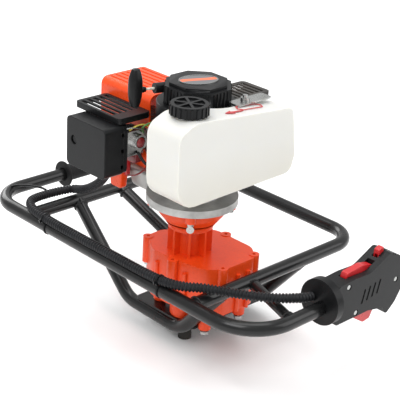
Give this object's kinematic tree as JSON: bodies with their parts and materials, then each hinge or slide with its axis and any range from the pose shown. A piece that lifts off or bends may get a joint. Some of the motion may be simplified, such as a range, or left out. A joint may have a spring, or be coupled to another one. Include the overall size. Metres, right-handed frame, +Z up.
{
  "type": "ice auger powerhead",
  "caption": "Ice fishing auger powerhead: vertical two-stroke engine on a black tube frame with an orange gearbox, throttle handle, fuel tank and pull starter",
  "frame": {"origin": "the centre of the free end of the auger shaft", "axes": "+Z up the shaft, +Y towards the rear hand grip, +X towards the exhaust side"},
  "size_m": [0.4338, 0.692, 0.459],
  "materials": {
    "frame_paint": "gloss",
    "black_satin": "satin",
    "black_grip": "matte",
    "red_plastic": "gloss",
    "case_orange": "satin",
    "cowl_orange": "satin",
    "zinc": "satin",
    "gear_steel": "satin",
    "cast_aluminium": "matte",
    "bright_carb": "gloss",
    "dark_steel": "matte",
    "seal_rubber": "matte",
    "white_tank": "satin",
    "rope_cord": "matte",
    "foam": "matte",
    "nylon": "matte",
    "coil": "matte"
  },
  "bodies": {
    "powerhead": {"handle_tube": "frame_paint", "side_loop_tube": "frame_paint", "cradle_tube_left": "frame_paint", "cradle_tube_right": "frame_paint", "brace_tube": "frame_paint", "base_plate": "frame_paint", "hand_grip": "black_grip", "throttle_shell_left": "black_satin", "throttle_shell_right": "black_satin", "throttle_screws": "zinc", "cable_conduit": "black_satin", "zip_ties": "black_satin", "kill_lead": "black_grip", "gearbox_lower": "case_orange", "gearbox_upper": "case_orange", "gearbox_bolts": "zinc", "clutch_housing": "case_orange", "housing_bolts": "zinc", "gearbox_bearings": "zinc", "shaft_seal": "seal_rubber", "crankcase_lower": "cast_aluminium", "crankcase_upper": "cast_aluminium", "crank_bearings": "zinc", "barrel": "cast_aluminium", "spark_plug": "dark_steel", "ignition_coil": "coil", "fan_housing": "black_satin", "recoil_cover": "black_satin", "cylinder_cowl": "cowl_orange", "louvre_panel": "black_satin", "muffler": "dark_steel", "muffler_guard": "dark_steel", "carburettor": "bright_carb", "filter_base": "black_satin", "filter_element": "foam", "filter_cover": "black_satin", "fuel_tank": "white_tank"},
    "auger_drive": {"output_shaft": "dark_steel", "output_gear": "gear_steel"},
    "layshaft_set": {"layshaft": "gear_steel", "lay_gear": "gear_steel"},
    "input_set": {"input_shaft": "gear_steel", "clutch_drum": "gear_steel"},
    "crank_set": {"crankshaft": "gear_steel", "flywheel": "cast_aluminium", "clutch_hub": "gear_steel"},
    "shoe_left": {"clutch_shoe_left": "dark_steel"},
    "shoe_right": {"clutch_shoe_right": "dark_steel"},
    "piston_body": {"piston": "cast_aluminium"},
    "pulley": {"recoil_pulley": "nylon"},
    "starter": {"starter_handle": "black_grip", "starter_rope": "rope_cord"},
    "trigger": {"throttle_trigger": "red_plastic"},
    "lock": {"trigger_lock": "red_plastic"},
    "stop": {"kill_switch": "red_plastic"},
    "carb_lever": {"throttle_lever": "zinc"},
    "choke": {"choke_lever": "black_satin"},
    "primer": {"primer_bulb": "red_plastic"},
    "cap": {"fuel_cap": "black_satin"},
    "cover_screw": {"filter_screw": "black_satin"}
  },
  "joints": [
    {"name": "output_spin", "type": "hinge", "parent": "powerhead", "child": "auger_drive", "pos_m": [0, 0, 0.05], "axis": [0, 0, 1], "continuous": true},
    {"name": "layshaft_spin", "type": "hinge", "parent": "powerhead", "child": "layshaft_set", "pos_m": [0.02405, -0.03804, 0.12], "axis": [0, 0, 1], "continuous": true},
    {"name": "input_spin", "type": "hinge", "parent": "powerhead", "child": "input_set", "pos_m": [0, 0, 0.18], "axis": [0, 0, 1], "continuous": true},
    {"name": "crank_spin", "type": "hinge", "parent": "powerhead", "child": "crank_set", "pos_m": [0, 0, 0.32], "axis": [0, 0, 1], "continuous": true},
    {"name": "shoe_left_out", "type": "slide", "parent": "crank_set", "child": "shoe_left", "axis": [0, -1, 0], "range_m": [0, 0.0011], "stiffness_N_per_m": 4000, "springref_m": -0.002},
    {"name": "shoe_right_out", "type": "slide", "parent": "crank_set", "child": "shoe_right", "axis": [0, 1, 0], "range_m": [0, 0.0011], "stiffness_N_per_m": 4000, "springref_m": -0.002},
    {"name": "piston_stroke", "type": "slide", "parent": "powerhead", "child": "piston_body", "axis": [0, 1, 0], "range_m": [0, 0.03]},
    {"name": "starter_pull", "type": "slide", "parent": "powerhead", "child": "starter", "axis": [-0.9613, 0.2756, 0], "range_m": [0, 0.36], "stiffness_N_per_m": 30, "springref_m": -0.1, "deforming": ["starter_rope"]},
    {"name": "pulley_spin", "type": "hinge", "parent": "powerhead", "child": "pulley", "pos_m": [0, 0, 0.426], "axis": [0, 0, 1], "continuous": true},
    {"name": "trigger_squeeze", "type": "hinge", "parent": "powerhead", "child": "trigger", "pos_m": [0.186, -0.231, 0.109], "axis": [0, 1, 0], "range_deg": [0, 7.5], "stiffness_Nm_per_rad": 0.6, "springref_deg": -28.65},
    {"name": "lock_press", "type": "hinge", "parent": "powerhead", "child": "lock", "pos_m": [0.16, -0.231, 0.169], "axis": [0, -1, 0], "range_deg": [0, 7], "stiffness_Nm_per_rad": 0.4, "springref_deg": -28.65},
    {"name": "stop_slide", "type": "slide", "parent": "powerhead", "child": "stop", "axis": [1, 0, 0], "range_m": [0, 0.005]},
    {"name": "carb_throttle", "type": "hinge", "parent": "powerhead", "child": "carb_lever", "pos_m": [-0.06, 0.08, 0.357], "axis": [0, 0, 1], "range_deg": [0, 60]},
    {"name": "choke_turn", "type": "hinge", "parent": "powerhead", "child": "choke", "pos_m": [-0.076, 0.07, 0.363], "axis": [0, 0, 1], "range_deg": [0, 45]},
    {"name": "primer_press", "type": "slide", "parent": "powerhead", "child": "primer", "axis": [0, 1, 0], "range_m": [0, 0.0015], "stiffness_N_per_m": 900, "springref_m": -0.003},
    {"name": "cap_lift", "type": "slide", "parent": "powerhead", "child": "cap", "axis": [0, 0, 1], "range_m": [0, 0.025]},
    {"name": "cover_screw_turn", "type": "hinge", "parent": "powerhead", "child": "cover_screw", "pos_m": [-0.12, 0.132, 0.334], "axis": [1, 0, 0], "continuous": true}
  ],
  "couplings": [
    {"joint": "layshaft_spin", "follows": "output_spin", "ratio": -3.5},
    {"joint": "input_spin", "follows": "output_spin", "ratio": 17.5},
    {"joint": "pulley_spin", "follows": "starter_pull", "rad_per_m": 37.037},
    {"joint": "carb_throttle", "follows": "trigger_squeeze", "ratio": 7},
    {"joint": "shoe_right_out", "follows": "shoe_left_out", "ratio": 1}
  ]
}
